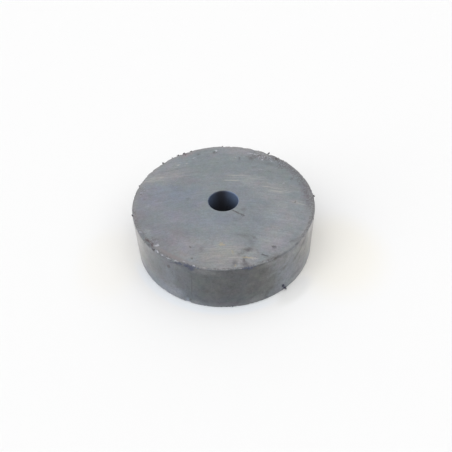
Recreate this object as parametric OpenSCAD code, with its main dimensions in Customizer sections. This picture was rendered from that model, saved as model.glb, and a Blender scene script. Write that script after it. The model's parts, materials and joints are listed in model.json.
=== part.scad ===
/* [Disc] */
// Outside diameter of the disc
disc_diameter = 40; // [24:0.5:60]
// Thickness from one ground face to the other
disc_thickness = 12; // [6:0.5:20]
// Width of the broken edge round both outer rims
rim_break = 0.2; // [0.1:0.05:0.5]

/* [Bore] */
// Diameter of the straight bore through the middle
bore_diameter = 6.6; // [4:0.1:12]
// Width of the broken edge at both mouths of the bore
mouth_break = 0.1; // [0.05:0.05:0.4]

/* [Chips] */
// Scale of every chip knocked out of the rims
chip_scale = 1; // [0.5:0.1:1.5]

/* [Hidden] */

disc_radius = disc_diameter / 2;
bore_radius = bore_diameter / 2;

// Shell-shaped chips at the rims, one row each: the bearing round the rim in degrees from +X,
// the length along the rim, the depth below the broken edge, and the lean, which is the angle
// above the horizontal of the blow that made it: 90 takes only the face and 0 only the side wall.
BEARING = 0;
LENGTH = 1;
DEPTH = 2;
LEAN = 3;
top_chips = [
    [47, 1.6, 0.16, 60],
    [56, 2.4, 0.20, 65],
    [66, 1.8, 0.14, 70],
    [88, 1.0, 0.10, 50],
    [113, 1.6, 0.14, 50],
    [123, 1.2, 0.12, 45],
    [136, 1.4, 0.12, 45],
    [163, 1.0, 0.10, 45],
    [190, 1.0, 0.10, 45],
    [209, 2.8, 0.20, 75],
    [218, 2.2, 0.30, 55],
    [224, 1.4, 0.22, 40],
    [231, 1.2, 0.12, 35],
    [243, 2.2, 0.26, 20],
    [250, 2.4, 0.30, 25],
    [281, 1.6, 0.20, 30],
    [303, 3.0, 0.12, 45],
];
bottom_chips = [
    [20, 1.4, 0.12, 35],
    [104, 1.6, 0.16, 40],
    [170, 1.2, 0.12, 45],
    [246, 1.4, 0.20, 35],
    [268, 1.0, 0.10, 45],
];

// The blank as it leaves the press and the grinder: a disc with a straight bore and broken edges
module blank() {
    rotate_extrude($fn = 360)
        polygon([
            [bore_radius + mouth_break, 0],
            [disc_radius - rim_break, 0],
            [disc_radius, rim_break],
            [disc_radius, disc_thickness - rim_break],
            [disc_radius - rim_break, disc_thickness],
            [bore_radius + mouth_break, disc_thickness],
            [bore_radius, disc_thickness - mouth_break],
            [bore_radius, mouth_break],
        ]);
}

// The ball whose surface a chip leaves behind, placed for a chip in the top rim. The broken edge
// lies edge_drop below the sharp corner along the blow, and the chip goes its depth below that.
module chip_ball(chip) {
    chord = chip[LENGTH] * chip_scale;
    depth = chip[DEPTH] * chip_scale;
    lean = chip[LEAN];
    ball_radius = (chord * chord / 4 + depth * depth) / (2 * depth);
    edge_drop = rim_break / (cos(lean) + sin(lean));
    stand_off = ball_radius - depth - edge_drop;
    rotate([0, 0, chip[BEARING]])
        translate([
            disc_radius + stand_off * cos(lean),
            0,
            disc_thickness + stand_off * sin(lean),
        ])
            sphere(r = ball_radius, $fn = 48);
}

module magnet() {
    color("slategray")
        difference() {
            blank();
            for (chip = top_chips)
                chip_ball(chip);
            translate([0, 0, disc_thickness])
                mirror([0, 0, 1])
                    for (chip = bottom_chips)
                        chip_ball(chip);
        }
}

magnet();
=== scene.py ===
import json
import math
import random

import bpy
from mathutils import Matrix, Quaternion, Vector

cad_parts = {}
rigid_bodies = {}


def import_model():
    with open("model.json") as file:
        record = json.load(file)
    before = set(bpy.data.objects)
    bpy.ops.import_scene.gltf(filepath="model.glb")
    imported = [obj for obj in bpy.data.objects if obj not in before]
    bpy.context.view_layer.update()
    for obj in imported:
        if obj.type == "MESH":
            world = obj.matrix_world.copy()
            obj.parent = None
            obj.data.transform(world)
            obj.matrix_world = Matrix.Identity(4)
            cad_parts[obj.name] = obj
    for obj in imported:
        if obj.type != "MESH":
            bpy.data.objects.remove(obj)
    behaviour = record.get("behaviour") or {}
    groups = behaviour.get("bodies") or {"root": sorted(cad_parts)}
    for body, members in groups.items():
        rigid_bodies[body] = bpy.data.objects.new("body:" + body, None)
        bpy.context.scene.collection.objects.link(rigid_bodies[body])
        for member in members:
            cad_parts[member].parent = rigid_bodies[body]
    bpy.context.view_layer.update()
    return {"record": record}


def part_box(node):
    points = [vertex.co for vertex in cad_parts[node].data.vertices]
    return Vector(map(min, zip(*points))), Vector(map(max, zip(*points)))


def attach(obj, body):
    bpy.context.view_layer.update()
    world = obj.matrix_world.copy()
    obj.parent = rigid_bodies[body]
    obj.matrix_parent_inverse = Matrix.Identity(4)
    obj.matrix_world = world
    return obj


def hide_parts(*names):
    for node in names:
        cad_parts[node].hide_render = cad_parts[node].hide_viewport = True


bl_info = {
    "name": "Ring Ferrite Magnet",
    "version": (1, 0, 0),
    "blender": (4, 5, 0),
    "location": "3D View > Sidebar > Magnet",
    "description": "Builds a worn ferrite disc magnet with a bore, the iron dust on it, and its stage",
    "category": "Object",
}

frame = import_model()
DISC_LOW, DISC_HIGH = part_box("magnet")
BORE_MOUNT = next(m for m in frame["record"]["mounts"] if m["name"] == "bore")

MM = 0.001
DISC_RADIUS = (DISC_HIGH.x - DISC_LOW.x) / 2
DISC_HEIGHT = DISC_HIGH.z - DISC_LOW.z
RADIUS_MM = DISC_RADIUS / MM
HEIGHT_MM = DISC_HEIGHT / MM
BODY = "root"
NODE = "magnet"

# Mesh steps in metres: at the rims, in the scratched ring round the bore and at its mouths, then
# the widths of the worn ring inside the rim and of the scratched one. Points nearer than the last
# are one point.
RIM_STEP = 0.16 * MM
SCRATCH_STEP = 0.22 * MM
MOUTH_STEP = 0.3 * MM
WORN_BAND = 3.4 * MM
SCRATCHED_BAND = 3.2 * MM
SAME_POINT = 1e-7

# Bearings are in degrees round the disc, counter-clockwise from +X, so the front (-Y) is at 270.
# Sizes in the rows below are in mm.

# Chips at the rims, the larger ones where the CAD part has them: bearing, length along the rim,
# depth below the broken edge, lean of the blow in degrees above the horizontal, and tone, from
# -1 dark to 1 pale.
TOP_CHIPS = [
    (47, 1.6, 0.16, 60, 0.3), (56, 2.4, 0.2, 65, -0.3), (66, 1.8, 0.14, 70, 0.2), (88, 1, 0.1, 50, 0),
    (113, 1.6, 0.14, 50, -0.2), (123, 1.2, 0.12, 45, -0.4), (136, 1.4, 0.12, 45, -0.2),
    (163, 1, 0.1, 45, 0), (190, 1, 0.1, 45, 0), (209, 2.8, 0.2, 75, 0.1), (218, 2.2, 0.3, 55, -0.8),
    (224, 1.4, 0.22, 40, 0.6), (231, 1.2, 0.12, 35, 0.3), (243, 2.2, 0.26, 20, -0.7),
    (250, 2.4, 0.3, 25, -0.5), (281, 1.6, 0.2, 30, -0.8), (303, 3, 0.12, 45, -0.5),
]
BOTTOM_CHIPS = [
    (20, 1.4, 0.12, 35, 0), (104, 1.6, 0.16, 40, 0.2), (170, 1.2, 0.12, 45, 0),
    (246, 1.4, 0.2, 35, 0.8), (268, 1, 0.1, 45, 0),
]

# The stretch of the upper rim that took the most knocks, as two bearings, and its share of the
# top nicks. Then the ranges that nicks are drawn from: length, depth as a share of it, lean, tone.
WORN_STRETCH = (112, 214)
WORN_SHARE = 0.45
NICK_LENGTHS = (0.35, 1.0)
NICK_DEPTHS = (0.08, 0.16)
NICK_LEANS = (30, 65)
NICK_TONES = (-0.5, 0.4)

# Pits and scratches in the upper face: from x, y to x, y, then width, depth and tone.
GOUGES = [
    (9.8, -14.4, 10.1, -14.4, 0.6, 0.12, -1), (1.9, -3.1, 4.3, -4.95, 0.26, 0.05, -1),
    (7.3, -16.2, 8.4, -16.8, 0.24, 0.04, -0.6), (-1.9, 17.6, -1.7, 17.8, 0.5, 0.1, -1),
    (9.2, 14.2, 9.8, 14.6, 0.4, 0.06, 0.2), (6.2, 16.6, 7.2, 16.9, 0.36, 0.05, 0.5),
]

# The faces were ground by a wheel that left arcs about this point.
GRINDING_CENTRE = (0.0, -50.0)

# Bright grinding streaks: middle x, distance from the grinding centre, half length, half width,
# strength.
STREAKS = [
    (-14.5, 60.2, 5.6, 1.2, 0.2), (-17.2, 60, 1.9, 0.3, 0.45), (-14.3, 60.5, 2.2, 0.16, 0.95),
    (-16.2, 60.75, 2.2, 0.14, 0.5), (-15.6, 59.5, 2.4, 0.14, 0.45), (-10.4, 60.7, 2.9, 0.12, 0.55),
    (-8.4, 59.6, 3.6, 0.12, 0.6), (-11.5, 59.1, 1.4, 0.13, 0.5), (-13.4, 59.25, 1.3, 0.14, 0.5),
    (-11, 61.7, 3, 0.12, 0.35), (-12.4, 62.6, 2.4, 0.12, 0.35), (3, 58.72, 3.8, 0.16, 0.95),
    (8.8, 58.2, 1.5, 0.12, 0.55), (4.6, 57.8, 3, 0.12, 0.38), (2.2, 56.82, 2.8, 0.17, 1),
    (6.2, 56.3, 2.6, 0.12, 0.4), (1.6, 55.3, 1.8, 0.12, 0.4), (9.9, 55.1, 1.8, 0.17, 1),
    (12, 54.75, 2.1, 0.16, 0.85), (14.2, 54.3, 1.9, 0.14, 0.6), (12.7, 53.4, 2.8, 0.12, 0.6),
    (13, 52.5, 3.2, 0.12, 0.5), (11.2, 51.9, 2.4, 0.1, 0.4), (15.6, 51.25, 2, 0.18, 0.8),
    (16.9, 50.9, 1.5, 0.22, 0.65), (4.4, 33.36, 2.6, 0.19, 1), (1.4, 33.3, 2.4, 0.14, 0.6),
    (-2.2, 34, 3.6, 0.16, 0.55), (-2, 32.7, 3.2, 0.14, 0.5), (-1.5, 31.8, 2.6, 0.14, 0.45),
    (-1.4, 36.8, 3.6, 0.2, 0.5), (-1, 35.5, 3.4, 0.15, 0.42), (8.5, 38.5, 4.5, 0.12, 0.3),
]

# Soft patches on the upper face, by kind: x, y, half length, half width, turn in degrees, strength.
FACE_PATCHES = {
    # Partly painted reflection: a bluish tint across the middle of the face, strongest at the left.
    "cool": [
        (-10, 2.4, 8.5, 4.8, 8, 0.85), (6.5, 0.6, 5.5, 3.4, -14, 0.5), (-3, -5.5, 8.5, 4.2, 0, 0.55),
        (9.4, -6, 6, 3.4, 10, 0.55), (-10.2, 14.4, 1.6, 0.9, 0, 0.9), (-6.4, 0.2, 3.4, 3.6, 0, 0.6),
        (-12.4, 4.9, 6.4, 1.8, 6, 1),
    ],
    # Partly painted reflection: a violet-blue tint, mostly on the left of the face.
    "lavender": [
        (-15.2, 0.6, 3.8, 5.4, 10, 0.75), (-15, 5, 2.6, 1.8, 20, 0.45),
        (-12.4, 13.6, 2.8, 1.2, 42, 0.8), (-17.6, 2.6, 1.8, 4.6, -6, 1), (-5.6, 0.4, 2.4, 3, 0, 0.45),
        (-14.6, -7.4, 3.4, 3.6, 20, 0.66), (-10.5, -4.5, 6.5, 4, -10, 0.7),
        (9.4, -14.2, 3.6, 2.4, 30, 0.75), (-9.5, -11.5, 5, 2.6, -44, 0.5),
    ],
    # Partly painted reflection: the large warm patch at the front of the face; the smaller ones are tone of
    # the face.
    "warm": [
        (0, -16.4, 9.5, 5.2, 0, 0.88), (-14.6, 8.5, 5.5, 2, 20, 0.6), (9.5, -13.5, 5, 3.4, 30, 0.35),
        (-8, -15.8, 4.6, 2, -28, 0.6), (12, 4, 6.5, 2.8, -12, 0.4), (5.3, 6.6, 1.6, 2, 0, 0.45),
        (16.2, -1.4, 2.6, 1.2, -24, 0.5), (10, 16.2, 3.6, 1.1, -32, 0.7),
        (5.4, 17.8, 3.2, 1.4, -14, 0.6),
    ],
    "mauve": [
        (-17.8, -4.6, 2.4, 5, 10, 0.8), (-12.6, -11.4, 6.4, 3, -46, 0.8),
        (-9.6, -9.6, 6, 3.4, -30, 0.8), (-7, 7.2, 3.2, 1.4, 6, 0.5), (-12.6, -13.4, 4, 1.8, -42, 0.66),
        (-19, -4.4, 1.6, 5.4, 12, 1), (18.4, 0.6, 1.8, 8, 4, 0.8), (15.4, 10.2, 1.6, 4, 34, 0.4),
        (-15.4, -8.2, 3, 3.4, 20, 0.6),
    ],
    "pink": [
        (-8.2, 17.1, 2.4, 1, 24, 1), (-12.2, 9.4, 3.6, 2.4, 14, 0.4), (-8.4, -13, 6.5, 3.4, -24, 0.26),
        (10.5, -13, 5, 3.4, 36, 0.35), (10, -9.2, 3, 0.9, 6, 0.5), (7.6, 5.4, 1.7, 1.3, -10, 0.6),
        (5.2, 17.6, 2.6, 1.5, -10, 0.9), (-2.1, 16.6, 0.6, 1.4, 0, 0.5),
        (9.4, 15.2, 2.2, 1.2, -30, 0.5),
    ],
    "teal": [
        (-1, 12.6, 1.9, 3, 0, 0.9), (10.6, 9, 1.5, 3.4, 0, 0.7), (-6, 13, 5, 3.4, 0, 0.4),
        (14, 9, 2, 4, 14, 1), (14.6, 4.6, 1.6, 1.8, 0, 0.6), (4, 12, 6, 3, 0, 0.5),
    ],
    "light": [
        (10, -11.6, 7.4, 5.4, 36, 0.8), (13.6, -5.6, 7.4, 7.4, 20, 0.85), (9.8, 1.2, 6, 3, -10, 0.7),
        (6.8, 5.4, 3.4, 1.8, -6, 0.8), (4, 8, 3.6, 1.6, 0, 0.6), (-13.6, 10, 3.4, 1.6, 20, 0.5),
        (-16, -9, 1.8, 1.1, -18, 1), (-3.4, -12.6, 9.5, 3.2, 0, 0.7), (4.4, 17.6, 8, 2.9, -12, 1),
        (-16, 9.6, 3, 5.8, -30, 1), (-12, 8.6, 4.6, 2.4, 10, 0.9), (-12, 13.2, 5.5, 2.4, 40, 0.7),
        (-18, 4, 1.6, 3.6, -8, 0.6), (7.2, 7.2, 3.4, 1.8, -8, 0.5),
    ],
    "rough": [
        (9.6, 15.4, 5, 2.3, -32, 1), (7.2, 14.8, 1.8, 1.6, 0, 0.8), (13.6, 11.6, 2.8, 2, -50, 0.7),
        (16.6, 6.4, 2.2, 3.4, 20, 0.2), (-10.5, 15.2, 4, 1.4, 38, 0.45), (-18.2, 4, 1.6, 5, -8, 0.6),
        (-14.2, -11.4, 3.4, 1.3, -50, 0.6),
    ],
    "brushed": [
        (-11, 11, 7.5, 2.6, 13, 0.75), (5, 7.2, 7.5, 2.6, -5, 1), (12.8, 3, 5.5, 3.2, -16, 1),
        (-1, -15.6, 7.5, 3.6, 2, 0.85), (14.6, -1.2, 4, 1.6, -20, 0.6), (-5, 3, 8, 2, 5, 0.25),
    ],
}

# Small marks on the upper face, written the same way.
FACE_MARKS = {
    "smudge": [
        (4, -10.9, 2.4, 0.9, -16, 0.42), (6, -11.5, 1.4, 0.6, -58, 0.52),
        (5.4, -12.8, 1, 2.2, 8, 0.38), (4.6, -14.8, 1.8, 1, 22, 0.9), (3.1, -15.8, 1.5, 0.7, 24, 0.6),
        (3.6, -17.6, 0.7, 1.8, 3, 0.88), (3.8, -18.6, 1.2, 1.1, 0, 0.78),
        (1.8, -18.3, 0.9, 1.7, -20, 0.6), (6.5, -15.3, 1.3, 0.55, -58, 0.36),
        (4.3, -3, 0.9, 0.8, 0, 0.5), (-7.8, 1, 0.9, 0.7, -20, 0.28), (-17.4, 1.3, 0.7, 0.7, 0, 0.34),
        (4.2, 15, 0.45, 1, 0, 0.62), (7, 14.8, 1.1, 1.4, 0, 0.56), (7.9, 15.5, 1.3, 0.9, -20, 0.6),
        (6.3, 15.6, 0.8, 0.6, 20, 0.6), (7.6, 11.3, 1.1, 0.6, 0, 0.34),
        (13.8, 11.4, 1.6, 1.3, -20, 0.36), (11.2, 12.3, 2, 1, -20, 0.4),
        (10.6, 13.7, 1.2, 0.6, -20, 0.36), (-5.6, 17, 0.8, 0.7, 0, 0.7),
        (-4.8, -14.2, 1, 1.2, -20, 0.42), (13.6, -12.9, 1.1, 0.6, 30, 0.46),
        (15, -12.2, 2.4, 0.6, 40, 0.3), (9.6, -17, 2.8, 1, 30, 0.45), (-16.6, -9.2, 0.5, 0.5, 0, 0.4),
    ],
    "dark": [
        (9.8, -14.1, 0.72, 0.46, 18, 1), (7.9, -16.5, 1.1, 0.38, -30, 0.9),
        (2.7, -3.75, 1.9, 0.3, -37, 0.85), (4, -4.7, 0.9, 0.34, -37, 0.8),
        (15.7, -1.2, 0.28, 0.5, 0, 0.7), (-1.65, 17.45, 0.6, 0.42, 0, 1),
        (-6.9, -13.65, 0.42, 0.4, 0, 0.75), (-6.7, -16.7, 0.46, 0.6, 20, 0.75),
        (-14.4, -13.5, 0.45, 0.45, 0, 1),
    ],
    "brown": [(13, 14.1, 0.95, 0.6, -10, 1), (9, 15.7, 0.4, 0.7, 0, 0.55), (15.8, 6.6, 1.2, 1.1, 30, 0.34)],
    "rust": [
        (10.7, 14.7, 0.6, 0.4, -20, 0.6), (11.9, 14.6, 0.5, 0.4, -20, 0.6),
        (-15.7, -11.8, 2, 1.1, -50, 0.85), (-15, -12.7, 1, 0.8, -40, 1), (-8.8, 17.1, 1, 0.6, 25, 0.7),
    ],
    "pale": [
        (-13.9, -12.7, 0.75, 0.42, 0, 1), (-1.35, 18.3, 0.6, 0.4, -10, 0.9),
        (-6.7, 15.6, 0.6, 0.36, 0, 0.7), (9.6, 14.1, 0.42, 0.44, 0, 1.2), (9.7, 15, 0.4, 0.4, 0, 0.8),
        (11.8, 13.35, 0.32, 0.3, 0, 0.66), (6.9, 16.7, 0.9, 0.3, -16, 0.75),
        (7.9, 16.2, 0.6, 0.3, -45, 0.75), (13.7, 5.1, 0.28, 0.36, 0, 0.7),
    ],
    "cream": [
        (3.3, 15.2, 1, 0.34, 0, 0.5), (9, 10.4, 0.6, 0.3, 0, 0.5), (-10.5, 13.05, 0.95, 0.34, 8, 1.1),
        (-8.4, 13.5, 0.95, 0.34, 8, 0.95), (-12.1, 13.3, 0.5, 0.26, 0, 0.6),
        (-14.2, 8.8, 0.9, 0.32, 8, 1), (5.6, -17.2, 1.2, 0.3, -8, 0.9),
    ],
    "ochre": [
        (-0.55, -13.05, 1, 0.8, -20, 0.85), (1.5, -15.3, 0.4, 0.9, 0, 0.66),
        (2, -18.9, 0.5, 0.6, -10, 0.7), (4.4, -16.9, 1.9, 0.4, -6, 1),
    ],
}

# Dirt that gathers at the upper rim: bearing of the middle, half its reach round the rim in
# degrees, its width, and strength.
RIM_DIRT = [
    (22, 44, 3.2, 0.72), (40, 22, 2.2, 0.72), (352, 26, 1.4, 0.6), (66, 30, 1.2, 0.2),
    (180, 36, 0.9, 0.3), (196, 14, 1.8, 0.5), (212, 16, 1.4, 0.55), (238, 24, 1.2, 0.76),
    (272, 34, 1, 0.66), (308, 26, 0.6, 0.35), (335, 18, 1, 0.62),
]

# The outer wall changes tone round the disc: bearing and the name of its colour. The dark stretch at the
# front is partly painted shade, and the light stretches at its two flanks are partly painted reflection;
# elsewhere the tones are the fired skin's own.
WALL_ZONES = [
    (90, "wall_slate"), (125, "wall_mid"), (160, "wall_pale"), (188, "wall_light_and_painted_reflection"),
    (204, "wall_light_and_painted_reflection"), (211, "wall_pale"), (221, "wall_mid"), (234, "wall_slate"),
    (247, "wall_teal"), (256, "wall_sea"), (267, "wall_dark_and_painted_shade"), (280, "wall_dark_and_painted_shade"), (292, "wall_olive"),
    (300, "wall_mid"), (311, "wall_mid"), (325, "wall_pale"), (338, "wall_light_and_painted_reflection"), (352, "wall_pale"),
    (390, "wall_pale"), (420, "wall_mid"), (450, "wall_slate"),
]

# Marks on the outer wall, by kind: bearing, height, half width, half height, turn in degrees,
# strength.
WALL_MARKS = {
    "haze_and_painted_reflection": [
        # The two large patches high on the flanks, at 203.4 and 337, are painted reflection; the others are
        # hazy patches of the skin.
        (203.4, 9.2, 5, 5, 0, 1), (337, 10.8, 4.2, 3.4, 0, 1), (235.6, 2, 3.4, 2.8, 0, 0.4),
        (228, 1.4, 2.6, 1.8, 0, 0.25), (256.6, 11.2, 4.4, 1.5, 0, 0.2), (241, 10.9, 2.2, 1.4, 0, 0.12),
        (294.6, 11.2, 1.7, 1.2, 0, 0.25), (310.8, 9.4, 2.8, 2, 0, 0.25), (317, 4.6, 3.6, 2.4, 0, 0.12),
        (325, 11.7, 3.4, 1.1, 0, 0.36), (324, 0.9, 5.6, 1.7, 0, 0.3), (287.6, 1.4, 2.6, 1.7, 0, 0.18),
        (252.6, 0.8, 2.2, 1.5, 0, 0.17), (216, 11.2, 2.8, 1.6, 0, 0.3),
    ],
    # Partly painted shade: dark green-grey patches that carry the dark front of the wall on to the right.
    "olive_and_painted_shade": [(296.6, 4.6, 3.2, 5, -8, 0.85), (301, 1.4, 2.8, 2, 0, 0.4), (294.4, 8.2, 1.9, 1.7, 0, 0.8)],
    "smudge": [
        (306.8, 7.5, 1.3, 1, 20, 1), (324, 10.1, 1.5, 0.9, 30, 1.2), (319.6, 8.7, 2.8, 0.7, 36, 0.72),
        (316.4, 7.9, 1.4, 0.9, 44, 0.9), (223.4, 6.4, 3.4, 4.2, 0, 0.42), (214, 1.8, 3.2, 1.8, 0, 0.3),
        (205.5, 0.7, 5, 1.6, 0, 0.72), (292.4, 8.8, 1.5, 1.7, 0, 0.4), (281, 10, 1.9, 0.9, 0, 0.45),
        (288, 6, 2.4, 1.8, 0, 0.3), (274.4, 5.2, 1.6, 1.4, 0, 0.45), (264.6, 5.4, 1.7, 1.3, 0, 0.4),
        (268.4, 4.6, 1, 0.9, 0, 0.4), (258, 9.8, 1.1, 0.9, 0, 0.45), (242, 6.4, 1.4, 1.2, 0, 0.24),
        (247.2, 5, 0.8, 4.2, -3, 0.3), (231, 3.8, 1, 0.6, 0, 0.34), (230.4, 10.4, 0.9, 0.5, 30, 0.34),
        (212, 3.3, 1.2, 0.9, 0, 0.3), (40, 7.5, 0.9, 2.2, 12, 0.4), (68, 10.6, 2.8, 1, -6, 0.4),
        (178, 3, 1.6, 1.4, 0, 0.3),
    ],
    "dark": [
        (235, 9.6, 0.44, 0.66, -26, 3), (249.4, 5.8, 0.22, 6.8, -4, 1),
        (247.8, 1.3, 0.36, 0.95, -8, 0.9), (328.5, 8, 0.3, 3.4, -26, 0.72),
        (320.8, 6.4, 0.26, 2.6, -30, 0.66), (258.8, 5.2, 0.8, 1, 0, 0.85),
        (268.2, 4.4, 0.5, 0.5, 10, 0.66), (264.2, 5.6, 0.5, 0.55, 0, 0.6),
        (253.3, 3, 1.1, 0.26, 22, 0.6), (282.5, 4.2, 0.5, 0.45, 0, 0.6),
        (284.6, 2.2, 0.8, 0.6, 20, 0.6), (273.4, 0.5, 0.4, 0.3, 0, 0.7), (96, 3.6, 0.8, 1, 0, 0.6),
        (142, 8.4, 0.3, 3.4, 4, 0.62),
    ],
    "rust": [(251.4, 9.3, 1.2, 0.9, 0, 0.3), (118, 1.2, 1.8, 0.7, 0, 0.5)],
    "spall": [
        (246, 2.2, 0.6, 0.34, 0, 0.8), (294.5, 0.7, 1, 0.28, 0, 0.75), (258.4, 0.5, 0.7, 0.24, 0, 0.6),
    ],
    "cool": [
        (245.9, 0.9, 0.8, 1.1, -8, 1), (229, 1.8, 4.6, 2.2, 0, 0.66), (238, 2.6, 3.2, 1.8, 10, 0.55),
        (234.5, 6.6, 2.6, 2.8, 0, 0.4), (216, 1.8, 4, 1.8, 0, 0.4), (311, 5.6, 4.8, 5.4, 0, 0.42),
        (323, 3.6, 5, 3.6, 0, 0.3), (336, 2, 3.6, 2.4, 0, 0.55),
    ],
    "green": [
        (299, 10.1, 1, 0.9, 0, 0.6), (285.4, 2.8, 1.6, 1.1, 0, 0.6), (240.5, 5.2, 1.7, 1.7, 0, 0.45),
        (255, 8.2, 2.6, 3, 0, 0.45),
    ],
    "plum": [
        (266, 1.2, 2.6, 0.8, 0, 0.7), (272.6, 1.2, 2, 1.1, 0, 0.75), (319, 2.4, 3, 1.3, 0, 0.7),
        (254, 11, 1.4, 0.7, 0, 0.55),
    ],
}

# Marks that wrap over the upper rim, written like those on the wall: heights above the wall's
# own run on over the face, towards the middle.
RIM_MARKS = {
    "spall": [
        (238.2, 11.3, 1.3, 0.3, 22, 0.8), (242.4, 11.9, 1.6, 0.55, 10, 0.9),
        (247.2, 12, 1.4, 0.9, 0, 1), (248, 11.2, 2.2, 1, 10, 0.3), (250, 11.6, 1.2, 1.4, 0, 1),
        (251.8, 12.1, 0.6, 0.6, 0, 0.8), (254.4, 12.1, 0.6, 0.24, 0, 0.66),
        (281.2, 11.9, 1, 0.6, 0, 0.9), (283.8, 11.7, 1.3, 0.85, 0, 1), (286.8, 12, 0.8, 0.4, 0, 0.75),
    ],
    "dark": [
        (223.6, 12, 0.6, 0.55, 40, 1), (218, 12, 1, 0.4, 20, 0.6), (256.6, 12.1, 0.4, 0.24, 0, 0.7),
        (274, 12, 1, 0.24, 0, 0.6), (290, 12, 1.6, 0.28, 0, 0.6),
    ],
    "tan": [(236.6, 13, 6.8, 0.9, 0, 0.95)],
    "brown": [(299.4, 12, 2.6, 0.85, -6, 0.52), (303.2, 11.6, 0.9, 0.5, -30, 0.4)],
    "pale": [
        (226.7, 12.2, 0.62, 0.4, -20, 0.8), (230.5, 12.1, 0.9, 0.32, 8, 0.46),
        (235.2, 12.1, 1, 0.3, 6, 0.45), (240.2, 12.3, 1.2, 0.34, 4, 0.5),
        (244.6, 12.8, 0.7, 0.26, 0, 0.42), (251.4, 12.4, 0.4, 0.5, 0, 0.62),
        (278.2, 12.2, 0.6, 0.3, 0, 0.32), (283.5, 11.8, 0.3, 0.26, 0, 0.42),
        (190, 12.3, 0.5, 0.3, 0, 0.6), (206, 12.4, 0.9, 0.3, 0, 0.6), (72, 12.1, 0.9, 0.26, 0, 0.6),
        (128, 12.1, 0.7, 0.24, 0, 0.55),
    ],
    "cream": [(257.8, 12.4, 1, 0.3, 0, 0.66), (293, 12.3, 0.8, 0.24, 0, 0.5)],
}

# Iron dust that the magnet holds: bearing, height, spread, pile, number of grains, grain size.
DUST_SEATS = [
    (1.2, 11.9, 0.16, 0.2, 8, 0.24), (20, 0.3, 0.3, 0.05, 6, 0.18), (40, 12, 0.6, 0.08, 12, 0.15),
    (47.3, 12, 0.5, 0.12, 12, 0.17), (55.4, 12, 0.14, 0.45, 14, 0.24), (75, 0.4, 0.4, 0.05, 7, 0.18),
    (89.2, 12, 0.16, 0.08, 7, 0.18), (112, 12, 0.2, 0.12, 8, 0.2), (117.1, 12, 0.28, 0.12, 12, 0.2),
    (122.2, 12, 0.2, 0.15, 9, 0.22), (126.7, 12, 0.16, 0.1, 6, 0.2), (135, 12, 0.24, 0.18, 10, 0.24),
    (150, 11.9, 0.5, 0.05, 7, 0.14), (150, 0.35, 0.3, 0.05, 6, 0.18),
    (161.8, 11.9, 0.26, 0.08, 8, 0.2), (190.1, 11.8, 0.16, 0.25, 9, 0.26),
    (215, 11.9, 0.5, 0.05, 7, 0.15), (223.4, 11.8, 0.2, 0.05, 6, 0.16),
    (273.4, 0.35, 0.14, 0.06, 5, 0.18), (306.7, 1.75, 0.22, 0.16, 12, 0.25),
    (307.9, 0.9, 0.24, 0.36, 13, 0.24), (309, 0.45, 0.16, 0.6, 7, 0.2),
    (341, 11.9, 0.3, 0.05, 5, 0.13),
]

# Casts of colour on the table, by kind, written like the patches: the warm ones are a painted warm tint in
# the shadows to either side of the magnet, and the shade one is a painted shadow at its front-right foot.
FLOOR_CASTS = {
    "warm": [(25, -6, 15, 16.5, 0, 1), (-26, -6, 10, 14, 0, 0.5)],
    "shade": [(14.4, -16.2, 6.6, 2.8, 42, 1)],
}

# The cool fringe on the table: the way it faces from the axis, how squarely a place has to lie that
# way for none and for all of it, and how far past the wall it is full and where it ends.
FRINGE_DIRECTION = (-0.36, -0.93, 0.0)
FRINGE_SPREAD = (0.55, 0.80)
FRINGE_NEAR = 1.0
FRINGE_FAR = 2.4

# Soft lamps: name, compass bearing clockwise from +Y, height above the horizon and width in
# degrees, and the share of the floor's light that each gives.
LAMPS = [
    ("overhead", 0, 90, 50, 0.14), ("front_left", 225, 55, 50, 0.16),
    ("front_right", 135, 55, 50, 0.1), ("left", 270, 55, 50, 0.09), ("right", 90, 55, 50, 0.06),
    ("low_left", 240, 20, 36, 0.04), ("back_right", 45, 55, 50, 0.03),
]

# The camera's place in metres, and its turns in degrees.
CAMERA_PLACE = (0, -0.0867, 0.09064)
CAMERA_PITCH = 44.94
CAMERA_YAW = 0.27
CAMERA_ROLL = -1.88


def colour_property(name, description, *rgb):
    return bpy.props.FloatVectorProperty(name=name, description=description, subtype="COLOR",
                                         size=4, min=0.0, max=1.0, default=(*rgb, 1.0))


def length_property(name, description, default, smallest=0.0):
    return bpy.props.FloatProperty(name=name, description=description, default=default, min=smallest,
                                   unit="LENGTH", precision=5)


def count_property(name, description, default, smallest=0):
    return bpy.props.IntProperty(name=name, description=description, default=default, min=smallest)


class MagnetSizes(bpy.types.PropertyGroup):
    """Sizes of the disc that a user would change."""

    rim_break: length_property(
        "Rim break", "Width of the broken edge round both outer rims", 0.2 * MM, 0.05 * MM)
    mouth_break: length_property(
        "Mouth break", "Width of the broken edge at both mouths of the bore", 0.1 * MM, 0.02 * MM)
    bore_radius: length_property(
        "Bore radius", "Radius of the straight bore", BORE_MOUNT["dims"]["r_mm"] * MM, 1 * MM)
    unevenness: length_property(
        "Wall unevenness", "How far the fired outer wall dips below its true circle", 0.04 * MM)
    steps_round: count_property("Steps round", "Number of mesh steps round the disc", 840, 96)
    nick_count: count_property("Nicks", "Number of fine nicks scattered along each rim", 100)
    seed: count_property("Seed", "Seed of the scattered nicks and dust", 11)


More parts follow.
